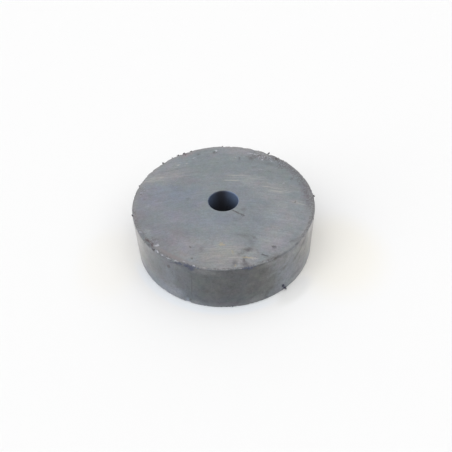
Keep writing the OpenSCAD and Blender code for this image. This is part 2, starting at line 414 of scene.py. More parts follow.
class MagnetColours(bpy.types.PropertyGroup):
    """Colours of the ferrite and of the dust on it, some of them partly painted shade and light."""

    face: colour_property("Ground face", "Main tone of the two ground faces", 0.192, 0.213, 0.231)
    # On the face, the cool, lavender and warm patches are partly painted reflection.
    cool: colour_property("Cool patch", "Blue-grey patches", 0.180, 0.204, 0.256)
    lavender: colour_property("Lavender patch", "Violet-grey patches", 0.212, 0.212, 0.262)
    warm: colour_property("Warm patch", "Tan-grey patches", 0.284, 0.272, 0.262)
    mauve: colour_property("Mauve patch", "Mauve tinge near the rims", 0.180, 0.172, 0.194)
    pink: colour_property("Pink patch", "Pinkish patches near the rims", 0.258, 0.206, 0.232)
    teal: colour_property("Teal patch", "Greenish-grey patches", 0.172, 0.204, 0.208)
    light: colour_property("Light patch", "Lighter worn patches", 0.262, 0.268, 0.286)
    streak: colour_property("Streak", "Bright grinding streaks", 0.395, 0.388, 0.360)
    dark: colour_property("Dark mark", "Smudges and pits", 0.068, 0.066, 0.068)
    smudge: colour_property("Smudge", "Broad soft smudges", 0.076, 0.070, 0.076)
    brown: colour_property("Brown mark", "Olive-brown grime", 0.060, 0.052, 0.044)
    dirt: colour_property("Rim dirt", "Dark specks at the rims", 0.080, 0.074, 0.080)
    tan: colour_property("Tan band", "Tan band behind the flecked rim", 0.206, 0.184, 0.190)
    rust: colour_property("Rust mark", "Rusty specks at the rims", 0.068, 0.044, 0.052)
    ochre: colour_property("Ochre mark", "Yellowish specks in the ground face", 0.370, 0.310, 0.200)
    cream: colour_property("Cream mark", "Soft pale flecks", 0.380, 0.375, 0.370)
    pale: colour_property("Pale mark", "Freshly chipped flecks", 0.450, 0.460, 0.510)
    spall: colour_property("Spall", "Blue-black spalled rim", 0.052, 0.060, 0.098)
    fracture: colour_property("Fracture", "Old broken ferrite", 0.082, 0.082, 0.092)
    # The wall colours are laid round the disc by WALL_ZONES: the darkest, at the front, are partly painted
    # shade, and the lightest, at the flanks, are partly painted reflection.
    wall_light_and_painted_reflection: colour_property("Light wall", "Lightest skin of the outer wall", 0.292, 0.284, 0.284)
    wall_pale: colour_property("Pale wall", "Light skin of the outer wall", 0.220, 0.222, 0.226)
    wall_mid: colour_property("Middle wall", "Middle skin of the outer wall", 0.176, 0.187, 0.199)
    wall_slate: colour_property("Slate wall", "Slate skin of the outer wall", 0.138, 0.147, 0.166)
    wall_teal: colour_property("Teal wall", "Slate-teal skin of the outer wall", 0.101, 0.113, 0.127)
    wall_sea: colour_property("Sea-grey wall", "Dark teal skin of the outer wall", 0.080, 0.089, 0.096)
    wall_olive: colour_property("Olive wall", "Olive-grey skin of the outer wall", 0.090, 0.094, 0.090)
    wall_dark_and_painted_shade: colour_property("Dark wall", "Darkest skin of the outer wall", 0.076, 0.080, 0.085)
    # Hazy patches of the skin, and painted reflection high on the flanks of the wall.
    haze_and_painted_reflection: colour_property("Haze", "Bleached patches of the skin", 0.400, 0.394, 0.398)
    # Partly painted shade, where the dark front of the wall runs on to the right.
    olive_and_painted_shade: colour_property("Olive wall patch", "Dark olive patches of the skin", 0.086, 0.089, 0.086)
    green: colour_property("Green wall patch", "Greenish patches of the skin", 0.094, 0.112, 0.104)
    plum: colour_property("Plum wall patch", "Violet patches of the skin", 0.112, 0.104, 0.124)
    # The dark bore is partly painted shade, and the bluish colour on its flanks is painted light.
    bore: colour_property("Bore", "Wall of the bore", 0.031, 0.033, 0.043)
    bore_painted_light: colour_property("Bore sheen", "Bluish flanks of the bore", 0.094, 0.128, 0.200)
    dust: colour_property("Dust", "Iron dust", 0.040, 0.036, 0.040)
    blue_dust: colour_property("Blue dust", "Iron dust near the foot", 0.052, 0.054, 0.092)


class StageSettings(bpy.types.PropertyGroup):
    """Camera and light of the stage."""

    lens: bpy.props.FloatProperty(
        name="Lens", description="Focal length of the camera in mm", default=42.39, min=10.0)
    floor_size: length_property("Floor size", "Side of the floor", 4.0)
    room_light: bpy.props.FloatProperty(
        name="Room light", description="Share of the floor's light that the room gives", default=0.43,
        min=0.0, max=1.0, subtype="FACTOR")
    floor_colour: colour_property("Floor", "White table top", 0.936, 0.936, 0.936)
    # floor_warm is a painted warm tint of the shadows beside the magnet, and floor_shade is a painted shadow
    # at its foot.
    floor_warm: colour_property("Warm floor", "Warm cast beside the magnet", 0.936, 0.918, 0.868)
    floor_cool: colour_property("Cool floor", "Cool cast under the front edge", 0.905, 0.935, 0.966)
    floor_shade: colour_property("Shaded floor", "Soft shade at the foot", 0.862, 0.862, 0.852)


class NodeBuilder:
    """Adds nodes to one tree and joins them. A value may be a socket or a plain value."""

    def __init__(self, tree, palette=None):
        self.tree = tree
        self.palette = palette

    def add(self, kind, inputs=None, **settings):
        node = self.tree.nodes.new(kind)
        for name, value in settings.items():
            setattr(node, name, value)
        for key, value in (inputs or {}).items():
            self.feed(node.inputs[key], value)
        return node

    def feed(self, socket, value):
        if isinstance(value, bpy.types.NodeSocket):
            self.tree.links.new(value, socket)
        else:
            socket.default_value = value

    def math(self, operation, *values):
        return self.add("ShaderNodeMath", dict(enumerate(values)), operation=operation).outputs[0]

    def vector(self, operation, *values):
        node = self.add("ShaderNodeVectorMath", dict(enumerate(values)), operation=operation)
        return node.outputs["Value" if operation in ("LENGTH", "DISTANCE", "DOT_PRODUCT") else "Vector"]

    def scaled(self, vector, factor):
        node = self.add("ShaderNodeVectorMath", {0: vector, "Scale": factor}, operation="SCALE")
        return node.outputs["Vector"]

    def joined(self, x=0.0, y=0.0, z=0.0):
        """A vector from its three parts."""
        return self.add("ShaderNodeCombineXYZ", {"X": x, "Y": y, "Z": z}).outputs[0]

    def parts(self, vector):
        """The three parts of a vector."""
        return self.add("ShaderNodeSeparateXYZ", {0: vector}).outputs

    def noise(self, vector, scale, detail=2.0, roughness=0.5, output="Fac"):
        return self.add("ShaderNodeTexNoise", {"Vector": vector, "Scale": scale, "Detail": detail,
                                               "Roughness": roughness}).outputs[output]

    def wobble(self, vector, scale, detail=3.0, roughness=0.65):
        """A wandering offset, half a unit to either side."""
        return self.vector("SUBTRACT", self.noise(vector, scale, detail, roughness, "Color"), (0.5, 0.5, 0.5))

    def shifted(self, vector, offset, reach):
        return self.vector("ADD", vector, self.scaled(offset, reach))

    def remap(self, value, low, high, out_low=0.0, out_high=1.0):
        return self.add("ShaderNodeMapRange", {0: value, 1: low, 2: high, 3: out_low, 4: out_high},
                        interpolation_type="SMOOTHSTEP").outputs[0]

    def minus(self, value, amount):
        return self.math("SUBTRACT", value, amount)

    def largest(self, first, *others):
        for other in others:
            first = self.math("MAXIMUM", first, other)
        return first

    def product(self, first, *others):
        for other in others:
            first = self.math("MULTIPLY", first, other)
        return first

    def total(self, *pairs):
        """The sum of values, each times its own weight."""
        result = 0.0
        for value, weight in pairs:
            result = self.math("MULTIPLY_ADD", value, weight, result)
        return result

    def mix(self, factor, first, second):
        """A blend of two colours."""
        return self.add("ShaderNodeMix", {0: factor, 6: first, 7: second}, data_type="RGBA").outputs[2]

    def coloured(self, name, shade=None):
        """A colour of the palette, made lighter or darker by a shade if there is one."""
        colour = tuple(getattr(self.palette, name))
        return colour if shade is None else self.scaled(colour[:3], shade)

    def coat(self, amount, colour, name, shade=None):
        """A colour of the palette laid over another colour."""
        return self.mix(amount, colour, self.coloured(name, shade))


def graded_steps(start, end, fine_start, fine_end, coarse, growth=1.35):
    """Positions from start to end whose spacing grows from one fine end to coarse and back."""
    length = abs(end - start)
    head, tail = [0.0], [length]
    step_head, step_tail = fine_start, fine_end
    while tail[-1] - head[-1] > min(step_head, step_tail) * 1.5:
        if step_head <= step_tail:
            head.append(head[-1] + step_head)
            step_head = min(step_head * growth, coarse)
        else:
            tail.append(tail[-1] - step_tail)
            step_tail = min(step_tail * growth, coarse)
    sign = 1 if end > start else -1
    return [start + sign * p for p in head + tail[::-1]]


def even_steps(start, end, spacing):
    count = max(1, round(abs(end - start) / spacing))
    return [start + (end - start) * i / count for i in range(count + 1)]


def section_outline(sizes):
    """The closed outline of half the disc, as points (distance from the axis, height)."""
    bore, mouth, rim = sizes.bore_radius, sizes.mouth_break, sizes.rim_break
    radius, height = DISC_RADIUS, DISC_HEIGHT
    inner, outer = bore + mouth, radius - rim
    worn_from, scratched_to = outer - WORN_BAND, inner + SCRATCHED_BAND
    points = []

    def run(pairs):
        points.extend(p for p in pairs
                      if not points or (Vector(p) - Vector(points[-1])).length > SAME_POINT)

    run([(r, 0.0) for r in graded_steps(inner, outer, MOUTH_STEP, RIM_STEP, coarse=1.9 * MM)])
    run([(outer + rim * t, rim * t) for t in (0.0, 0.5, 1.0)])
    run([(radius, z) for z in graded_steps(rim, height - rim, RIM_STEP, RIM_STEP, coarse=1.2 * MM)])
    run([(radius - rim * t, height - rim + rim * t) for t in (0.0, 0.5, 1.0)])
    run([(r, height) for r in even_steps(outer, worn_from, RIM_STEP)])
    run([(r, height) for r in graded_steps(worn_from, scratched_to, RIM_STEP, 0.25 * MM, coarse=1.6 * MM)])
    run([(r, height) for r in even_steps(scratched_to, inner, SCRATCH_STEP)])
    run([(bore, height - mouth)])
    run([(bore, z) for z in graded_steps(height - mouth, mouth, MOUTH_STEP, MOUTH_STEP, coarse=1.6 * MM)])
    return points[::-1]


def cap_radius(width, depth):
    """Radius of the ball whose cap has this width and depth."""
    return (width * width / 4 + depth * depth) / (2 * depth)


def on_rim(bearing, distance, height):
    angle = math.radians(bearing)
    return (distance * math.cos(angle), distance * math.sin(angle), height)


def chip_ball(row, rim_break, top):
    """Centre and radius of the ball that leaves one chip, and its tone."""
    bearing, length, depth, lean, tone = row
    lean = math.radians(lean)
    ball_radius = cap_radius(length * MM, depth * MM)
    edge_drop = rim_break / (math.cos(lean) + math.sin(lean))
    stand_off = ball_radius - depth * MM - edge_drop
    up = stand_off * math.sin(lean)
    centre = on_rim(bearing, DISC_RADIUS + stand_off * math.cos(lean), DISC_HEIGHT + up if top else -up)
    return centre, ball_radius, tone


def scattered_nicks(sizes):
    """Fine nicks along both rims, as chip rows with a flag for the top rim."""
    draw = random.Random(sizes.seed)
    rows = []
    for top in (True, False):
        for _ in range(sizes.nick_count):
            worn = top and draw.random() < WORN_SHARE
            bearing = draw.uniform(*WORN_STRETCH) if worn else draw.uniform(0, 360)
            length = draw.uniform(*NICK_LENGTHS)
            rows.append(((bearing, length, length * draw.uniform(*NICK_DEPTHS), draw.uniform(*NICK_LEANS),
                          draw.uniform(*NICK_TONES)), top))
    return rows


def gouge_balls(row):
    """The row of balls that leaves one pit or scratch in the upper face."""
    x, y, to_x, to_y, width, depth, tone = row
    ball_radius = cap_radius(width, depth)
    count = 1 + math.ceil(math.hypot(to_x - x, to_y - y) / (0.5 * width))
    balls = []
    for i in range(count):
        along = i / (count - 1)
        centre = Vector((x + (to_x - x) * along, y + (to_y - y) * along, HEIGHT_MM + ball_radius - depth))
        balls.append((tuple(centre * MM), ball_radius * MM, tone))
    return balls


def new_object(name, data):
    made = bpy.data.objects.new(name, data)
    bpy.context.scene.collection.objects.link(made)
    return made


def mesh_object(name, points, edges=(), faces=(), **attributes):
    """An object with a plain mesh and named float attributes on its points."""
    mesh = bpy.data.meshes.new(name)
    mesh.from_pydata(points, edges, faces)
    for attribute, values in attributes.items():
        mesh.attributes.new(attribute, "FLOAT", "POINT").data.foreach_set("value", values)
    return new_object(name, mesh)


class GeometryBuilder(NodeBuilder):
    """Builds a Geometry Nodes tree with named inputs, which ends in plain geometry with a material."""

    def __init__(self, name, inputs):
        super().__init__(bpy.data.node_groups.new(name, "GeometryNodeTree"))
        interface = self.tree.interface
        self.ids = {}
        for label, (kind, default) in inputs.items():
            socket = interface.new_socket(name=label, in_out="INPUT", socket_type="NodeSocket" + kind)
            if default is not None:
                socket.default_value = default
            self.ids[label] = socket.identifier
        interface.new_socket(name="Result", in_out="OUTPUT", socket_type="NodeSocketGeometry")
        self.given = self.add("NodeGroupInput").outputs
        self.place = self.add("GeometryNodeInputPosition").outputs[0]

    def named(self, name):
        node = self.add("GeometryNodeInputNamedAttribute", {"Name": name}, data_type="FLOAT")
        return node.outputs["Attribute"]

    def stored(self, geometry, name, value, **selection):
        """Geometry with a float kept on its points under a name."""
        return self.add("GeometryNodeStoreNamedAttribute",
                        {"Geometry": geometry, "Name": name, "Value": value, **selection},
                        data_type="FLOAT", domain="POINT").outputs[0]

    def moved(self, geometry, offset, **selection):
        return self.add("GeometryNodeSetPosition",
                        {"Geometry": geometry, "Offset": offset, **selection}).outputs[0]

    def mesh_of(self, label):
        return self.add("GeometryNodeObjectInfo", {"Object": self.given[label]}).outputs["Geometry"]

    def random(self, low, high, offset):
        """A random float or vector for each point, from the seed and an offset of its own."""
        vector = isinstance(low, tuple)
        first = 0 if vector else 2
        return self.add("FunctionNodeRandomValue", {
            "ID": self.add("GeometryNodeInputIndex").outputs[0],
            "Seed": self.math("ADD", self.given["Seed"], offset), first: low, first + 1: high,
        }, data_type="FLOAT_VECTOR" if vector else "FLOAT").outputs[0 if vector else 1]

    def close(self, geometry, smooth):
        """Ends the tree: shading, real geometry in place of instances, and the material."""
        shaded = self.add("GeometryNodeSetShadeSmooth", {"Geometry": geometry, "Shade Smooth": smooth})
        real = self.add("GeometryNodeRealizeInstances", {"Geometry": shaded.outputs[0]})
        finished = self.add("GeometryNodeSetMaterial",
                            {"Geometry": real.outputs[0], "Material": self.given["Finish"]})
        self.feed(self.add("NodeGroupOutput").inputs["Result"], finished.outputs[0])
        return self

    def run_on(self, carrier, name, values, spare_objects=()):
        """Replaces an object by the plain mesh that the tree makes of it with these inputs."""
        modifier = carrier.modifiers.new(self.tree.name, "NODES")
        modifier.node_group = self.tree
        for label, value in values.items():
            modifier[self.ids[label]] = value
        evaluated = carrier.evaluated_get(bpy.context.evaluated_depsgraph_get())
        mesh = bpy.data.meshes.new_from_object(evaluated)
        mesh.name = name
        piece = new_object(name, mesh)
        for spare in (carrier, *spare_objects):
            bpy.data.objects.remove(spare)
        if not mesh.polygons:
            raise RuntimeError(name + " came out empty")
        return piece


def lathe_tree():
    """Turns a section about the axis, knocks the chips out and roughens the broken surfaces."""
    build = GeometryBuilder("turned_and_chipped", {
        "Section": ("Geometry", None),
        "Turning radius": ("Float", 0.01),
        "Disc radius": ("Float", 0.02),
        "Steps round": ("Int", 360),
        "Chip balls": ("Object", None),
        "Chip count": ("Int", 0),
        "Ragged edge": ("Float", 0.05 * MM),
        "Wall unevenness": ("Float", 0.02 * MM),
        "Finish": ("Material", None),
    })
    given, place = build.given, build.place
    section = build.add("GeometryNodeMeshToCurve", {"Mesh": given["Section"]}).outputs[0]
    path = build.add("GeometryNodeCurvePrimitiveCircle",
                     {"Resolution": given["Steps round"], "Radius": given["Turning radius"]}).outputs[0]
    turned = build.add("GeometryNodeCurveToMesh", {"Curve": path, "Profile Curve": section}).outputs[0]

    # Noise scales are per metre, so these waves are a few mm long and the ragged grain 0.4 mm.
    waves, ragged_grain = 300, 2600
    skin = 0.05 * MM
    outward = build.vector("MULTIPLY", place, (1, 1, 0))
    on_wall = build.math("GREATER_THAN", build.vector("LENGTH", outward),
                         build.minus(given["Disc radius"], skin))
    dip = build.product(build.noise(place, waves, 3.0, 0.55), given["Wall unevenness"], -1.0)
    turned = build.moved(turned, build.scaled(build.vector("NORMALIZE", outward), dip), Selection=on_wall)
    ragged = build.product(build.minus(build.noise(place, ragged_grain, 3.0, 0.6), 0.5),
                           build.product(given["Ragged edge"], 2.0))
    turned = build.stored(turned, "ragged", ragged)

    balls = build.mesh_of("Chip balls")
    begin = build.add("GeometryNodeRepeatInput")
    end = build.add("GeometryNodeRepeatOutput")
    begin.pair_with_output(end)
    build.feed(begin.inputs["Iterations"], given["Chip count"])
    build.feed(begin.inputs["Geometry"], turned)

    def of_ball(kind, value):
        node = build.add("GeometryNodeSampleIndex", {"Geometry": balls, "Index": begin.outputs["Iteration"]},
                         data_type=kind)
        build.feed(node.inputs["Value"], value)
        return node.outputs[0]

    away = build.vector("SUBTRACT", place, of_ball("FLOAT_VECTOR", place))
    reach = build.minus(of_ball("FLOAT", build.named("ball_radius")),
                        build.math("ADD", build.vector("LENGTH", away), build.named("ragged")))
    inside = build.math("GREATER_THAN", reach, 0.0)
    tone = of_ball("FLOAT", build.named("tone"))
    marked = build.stored(begin.outputs["Geometry"], "break_tone", tone, Selection=inside)
    marked = build.stored(marked, "break_mask", 1.0, Selection=inside)
    push = build.scaled(build.vector("NORMALIZE", away), reach)
    build.feed(end.inputs["Geometry"], build.moved(marked, push, Selection=inside))
    return build.close(end.outputs["Geometry"], smooth=True)


def grain_shapes(build, count):
    """A few lumpy grains of unit size, as instances to pick from."""
    join = build.add("GeometryNodeJoinGeometry")
    for i in range(count):
        ball = build.add("GeometryNodeMeshIcoSphere", {"Radius": 0.5, "Subdivisions": 1}).outputs[0]
        lump = build.wobble(build.vector("ADD", build.place, (3.7 * i, 1.3, 0.0)), 2.2, 1.0, 0.5)
        grain = build.moved(ball, build.scaled(lump, 0.9))
        instance = build.add("GeometryNodeGeometryToInstance", {"Geometry": grain})
        build.feed(join.inputs[0], instance.outputs[0])
    return join.outputs[0]


def dust_tree():
    """Seats iron grains on the disc in the given clusters, and fine dust along its rims."""
    build = GeometryBuilder("clinging_dust", {
        "Seats": ("Geometry", None),
        "Disc": ("Object", None),
        "Disc radius": ("Float", 0.02),
        "Disc height": ("Float", 0.01),
        "Fine dust": ("Float", 3.0e6),
        "Seed": ("Int", 1),
        "Finish": ("Material", None),
    })
    given, place = build.given, build.place
    disc, radius, height = build.mesh_of("Disc"), given["Disc radius"], given["Disc height"]
    clusters = build.add("GeometryNodeDuplicateElements",
                         {"Geometry": given["Seats"], "Amount": build.named("grains")},
                         domain="POINT").outputs[0]
    scatter = build.scaled(build.random((-1, -1, -1), (1, 1, 1), 1), build.named("spread"))
    clusters = build.moved(clusters, scatter)

    z = build.parts(place)["Z"]
    distance = build.vector("LENGTH", build.vector("MULTIPLY", place, (1, 1, 0)))
    # Fine dust thins out this far inside the wall and this far below the faces.
    inside_wall, below_face = 0.5 * MM, 0.7 * MM
    smallest, biggest = 0.05 * MM, 0.13 * MM
    near_rim = build.remap(distance, build.minus(radius, inside_wall), radius)
    mid_height = build.product(height, 0.5)
    off_middle = build.math("ABSOLUTE", build.minus(z, mid_height))
    near_face = build.remap(off_middle, build.minus(mid_height, below_face), mid_height)
    patchy = build.remap(build.noise(place, 160, 2.0), 0.42, 0.62)
    fine = build.add("GeometryNodeDistributePointsOnFaces", {
        "Mesh": disc, "Density": build.product(near_rim, near_face, patchy, given["Fine dust"]),
        "Seed": given["Seed"]}).outputs["Points"]
    fine = build.stored(fine, "size", build.random(smallest, biggest, 2))
    join = build.add("GeometryNodeJoinGeometry")
    build.feed(join.inputs[0], fine)
    build.feed(join.inputs[0], clusters)

    # A grain stands out from the nearest rim, as iron does along the lines of a magnet's pull.
    inset = 2.0 * MM
    inner_distance = build.math("DIVIDE", build.minus(radius, inset), distance)
    core_xy = build.vector("MULTIPLY", build.scaled(place, inner_distance), (1, 1, 0))
    core_z = build.largest(inset, build.math("MINIMUM", z, build.minus(height, inset)))
    core = build.vector("ADD", core_xy, build.joined(z=core_z))
    outward = build.vector("NORMALIZE", build.vector("SUBTRACT", place, core))
    near = build.add("GeometryNodeProximity", {"Geometry": disc}, target_element="FACES").outputs["Position"]
    size = build.named("size")
    lift = build.total((size, 0.15), (build.random(0.0, 1.0, 3), build.named("pile")))
    off_floor = build.joined(-1.0, -1.0, build.product(size, 1.15))
    seat = build.vector("MAXIMUM", build.shifted(near, outward, lift), off_floor)
    seated = build.add("GeometryNodeSetPosition", {"Geometry": join.outputs[0], "Position": seat}).outputs[0]

    aligned = build.add("FunctionNodeAlignRotationToVector", {"Vector": outward}, axis="Z").outputs[0]
    least_tilt, most_tilt = (-0.7, -0.7, -3.1), (0.7, 0.7, 3.1)
    slimmest, fullest = (0.45, 0.45, 0.9), (0.9, 0.9, 1.7)
    tilt = build.add("FunctionNodeEulerToRotation",
                     {0: build.random(least_tilt, most_tilt, 4)}).outputs[0]
    turn = build.add("FunctionNodeRotateRotation", {"Rotation": aligned, "Rotate By": tilt},
                     rotation_space="LOCAL").outputs[0]
    grains = build.add("GeometryNodeInstanceOnPoints", {
        "Points": seated, "Instance": grain_shapes(build, 4), "Pick Instance": True,
        "Instance Index": build.math("FLOOR", build.random(0.0, 3.99, 6)), "Rotation": turn,
        "Scale": build.scaled(build.random(slimmest, fullest, 5), size)}).outputs[0]
    return build.close(grains, smooth=False)


def soft_spots(build, plane, spots, softness):
    """Soft-edged elliptical spots on a plane, the strongest of each kind as one mask.

    Each spot's height carries the mask so far, flattened out of its measure, so that the renderer
    works the spots out one after another and doesn't have to hold them all at once.
    """
    across_plane, up_plane, _ = build.parts(plane)
    flattened = 1.0e5
    masks = {}
    latest = 0.0
    for kind, rows in spots.items():
        for across, up, half_length, half_width, turn, strength in rows:
            local = build.add("ShaderNodeMapping", {
                "Vector": build.joined(across_plane, up_plane, latest), "Location": (across, up, 0),
                "Rotation": (0, 0, math.radians(turn)), "Scale": (half_length, half_width, flattened),
            }, vector_type="TEXTURE").outputs[0]
            spot = build.remap(build.vector("LENGTH", local), 1.0, softness, 0.0, strength)
            latest = build.largest(masks[kind], spot) if kind in masks else spot
            masks[kind] = latest
    return masks


def new_material(name, palette):
    """A material, its builder, its shader's inputs and the place on the object in mm."""
    material = bpy.data.materials.new(name)
    material.use_nodes = True
    build = NodeBuilder(material.node_tree, palette)
    place = build.scaled(build.add("ShaderNodeTexCoord").outputs["Object"], 1 / MM)
    return material, build, material.node_tree.nodes["Principled BSDF"].inputs, place


def raise_surface(build, surface, height):
    """Gives a surface relief from a height in mm."""
    bump = build.add("ShaderNodeBump", {"Strength": 1.0, "Distance": MM, "Height": height})
    build.feed(surface["Normal"], bump.outputs["Normal"])


class FerriteFields:
    """The measures and noises, in mm, that the ferrite finish is made from."""

    def __init__(self, build, place, bore_radius):
        self.build = build
        self.place = place
        self.x, self.y, self.z = build.parts(place)
        self.flat = build.vector("MULTIPLY", place, (1, 1, 0))
        self.distance = build.vector("LENGTH", self.flat)
        self.front_angle = build.math("ARCTAN2", self.x, build.product(self.y, -1.0))
        self.arc = build.product(self.front_angle, RADIUS_MM)
        self.wheel_distance = build.vector("DISTANCE", self.flat, (*GRINDING_CENTRE, 0.0))
        self.inward = build.minus(RADIUS_MM, self.distance)

        self.upper = build.remap(self.z, HEIGHT_MM - 0.12, HEIGHT_MM - 0.02)
        self.wall = build.product(build.remap(self.distance, RADIUS_MM - 0.22, RADIUS_MM - 0.08),
                                  build.remap(self.z, HEIGHT_MM - 0.05, HEIGHT_MM - 0.15),
                                  build.remap(self.z, 0.05, 0.15))
        self.bore = build.remap(self.distance, bore_radius / MM + 0.14, bore_radius / MM + 0.09)

        self.cloud = build.noise(place, 0.16, 3.0)
        self.blotch = build.noise(place, 0.42, 4.0, 0.62)
        self.mottle = build.noise(place, 1.1, 4.0, 0.6)
        self.speck = build.noise(place, 2.9, 2.5, 0.55)
        self.grain = build.noise(place, 6.0, 3.0, 0.65)
        self.upright = build.noise(build.vector("MULTIPLY", place, (1, 1, 0.22)), 1.3, 4.0, 0.6)
        self.tints = build.parts(build.noise(place, 0.44, 5.0, 0.74, "Color"))
        self.arcs_short = self.arc_noise(0.90, 3.2, 2.0)
        self.arcs_fine = self.arc_noise(0.22, 5.6, 3.0)
        self.arcs = self.arc_noise(0.10, 1.6, 4.0)
        self.arcs_broad = self.arc_noise(0.05, 0.42, 2.0)

    def arc_noise(self, along, across, detail):
        """Noise that is drawn out along the arcs of the grinding wheel."""
        build = self.build
        stretched = build.joined(build.product(self.x, along), build.product(self.wheel_distance, across),
                                 build.product(self.z, 0.3))
        return build.noise(stretched, 1.0, detail, 0.6)

    def woven(self, *others, **weights):
        """A sum of the named noises and of other values, each times its own weight."""
        return self.build.total(*((getattr(self, name), weight) for name, weight in weights.items()), *others)

    def drift(self, colour, *tints):
        """Lets a colour drift by each small tint to either side."""
        for tint, noise in zip(tints, self.tints):
            one_way = tuple(1 - part for part in tint) + (1.0,)
            other_way = tuple(1 + part for part in tint) + (1.0,)
            swing = self.build.mix(self.build.remap(noise, 0.36, 0.64), one_way, other_way)
            colour = self.build.vector("MULTIPLY", colour, swing)
        return colour

    def lay_marks(self, colour, marks, shares, *limits):
        """Lays marks over a colour, broken up by noise so that they are ragged and uneven."""
        build = self.build
        for kind, share in shares.items():
            uneven = build.remap(self.woven((marks[kind], 0.95), (1.0, -0.65), speck=1.3), 0.05, 0.80)
            amount = build.product(build.product(build.remap(marks[kind], 0.0, 0.15), uneven), *limits, share)
            colour = build.coat(amount, colour, kind)
        return colour


def rim_dirt(build, fields):
    """How thickly dirt lies along the upper rim."""
    outward = build.vector("NORMALIZE", fields.flat)
    heavy = 0.0
    for bearing, reach, width, strength in RIM_DIRT:
        facing = build.vector("DOT_PRODUCT", outward, on_rim(bearing, 1.0, 0.0))
        around = build.remap(facing, math.cos(math.radians(reach)), math.cos(math.radians(0.4 * reach)))
        depth = build.remap(fields.inward, width, 0.2 * width, 0.0, strength)
        heavy = build.largest(heavy, build.product(around, depth))
    return heavy


def face_finish(build, fields):
    """Colour of the two ground faces, with the stains and marks of the upper one; some of its bluish and warm
    patches are partly painted reflection.
    """
    upper = fields.upper
    wobble = build.wobble(fields.place, 1.6)
    shade = fields.woven((1.0, -0.31), cloud=0.30, arcs_broad=0.20, arcs=0.20, arcs_fine=0.20,
                         arcs_short=0.34, blotch=0.22, mottle=0.30, speck=0.44, grain=0.42)
    colour = build.coloured("face", shade)
    patches = soft_spots(build, build.shifted(fields.flat, wobble, 4.0), FACE_PATCHES, 0.1)
    for kind in ("cool", "lavender", "warm", "mauve", "pink", "teal", "light"):
        amount = build.product(patches[kind], upper, fields.woven((1.0, 0.45), arcs=0.7))
        colour = build.coat(build.math("MINIMUM", amount, 1.0), colour, kind, shade)
    colour = fields.drift(colour, (0.024, 0.0, -0.024), (-0.018, 0.020, -0.010))

    # A paler band just inside the upper rim, weaker towards the front.
    paler_rim_band = build.product(build.remap(fields.inward, 1.6, 0.3), upper,
                              build.remap(fields.y, -17.5, -12.0, 0.27, 0.42))
    colour = build.coat(paler_rim_band, colour, "warm", shade)

    brushed = build.product(patches["brushed"], build.remap(fields.arcs_fine, 0.50, 0.70), upper, 0.55)
    rows = {"streak": [(*row[:4], 0, row[4]) for row in STREAKS]}
    streaks = soft_spots(build, build.joined(fields.x, fields.wheel_distance), rows, 0.2)
    broken_up = build.remap(fields.woven(arcs_fine=0.6, arcs_short=0.4), 0.38, 0.58, 0.25, 1.0)
    bright = build.largest(brushed, build.product(streaks["streak"], upper, broken_up, 0.9))
    colour = build.coat(bright, colour, "streak")

    rough = build.product(patches["rough"], upper)
    heavy = build.product(rim_dirt(build, fields), upper)
    thick = build.largest(heavy, build.product(rough, 0.55))
    dark_grit = build.remap(fields.woven((thick, 0.45), speck=1.7, grain=0.7, mottle=0.5), 1.42, 2.02)
    dirt = build.product(dark_grit, build.remap(thick, 0.0, 0.4), 0.80)
    colour = build.coat(dirt, colour, "dirt", shade)
    pale_grit = build.remap(fields.woven((rough, 0.17), (heavy, 0.06), speck=-1.1, grain=-0.4), -0.62, -0.44)
    flecks = build.product(pale_grit, build.largest(rough, build.product(heavy, 0.15)), 0.5)
    colour = build.coat(flecks, colour, "pale")

    marks = soft_spots(build, build.shifted(fields.flat, wobble, 1.4), FACE_MARKS, 0.0)
    smudged = build.product(marks["smudge"], upper, fields.woven((1.0, 0.5), mottle=0.9))
    colour = build.coat(build.math("MINIMUM", smudged, 1.0), colour, "smudge", shade)
    shares = {"dark": 0.85, "brown": 0.90, "rust": 0.85, "ochre": 0.60, "cream": 0.60, "pale": 0.90}
    return fields.lay_marks(colour, marks, shares, upper)


def along_wall(marks):
    """Marks with their bearings turned into mm along the wall from the front, either way round."""
    return {kind: [(math.radians((bearing - 90) % 360 - 180) * RADIUS_MM, *rest) for bearing, *rest in rows]
            for kind, rows in marks.items()}


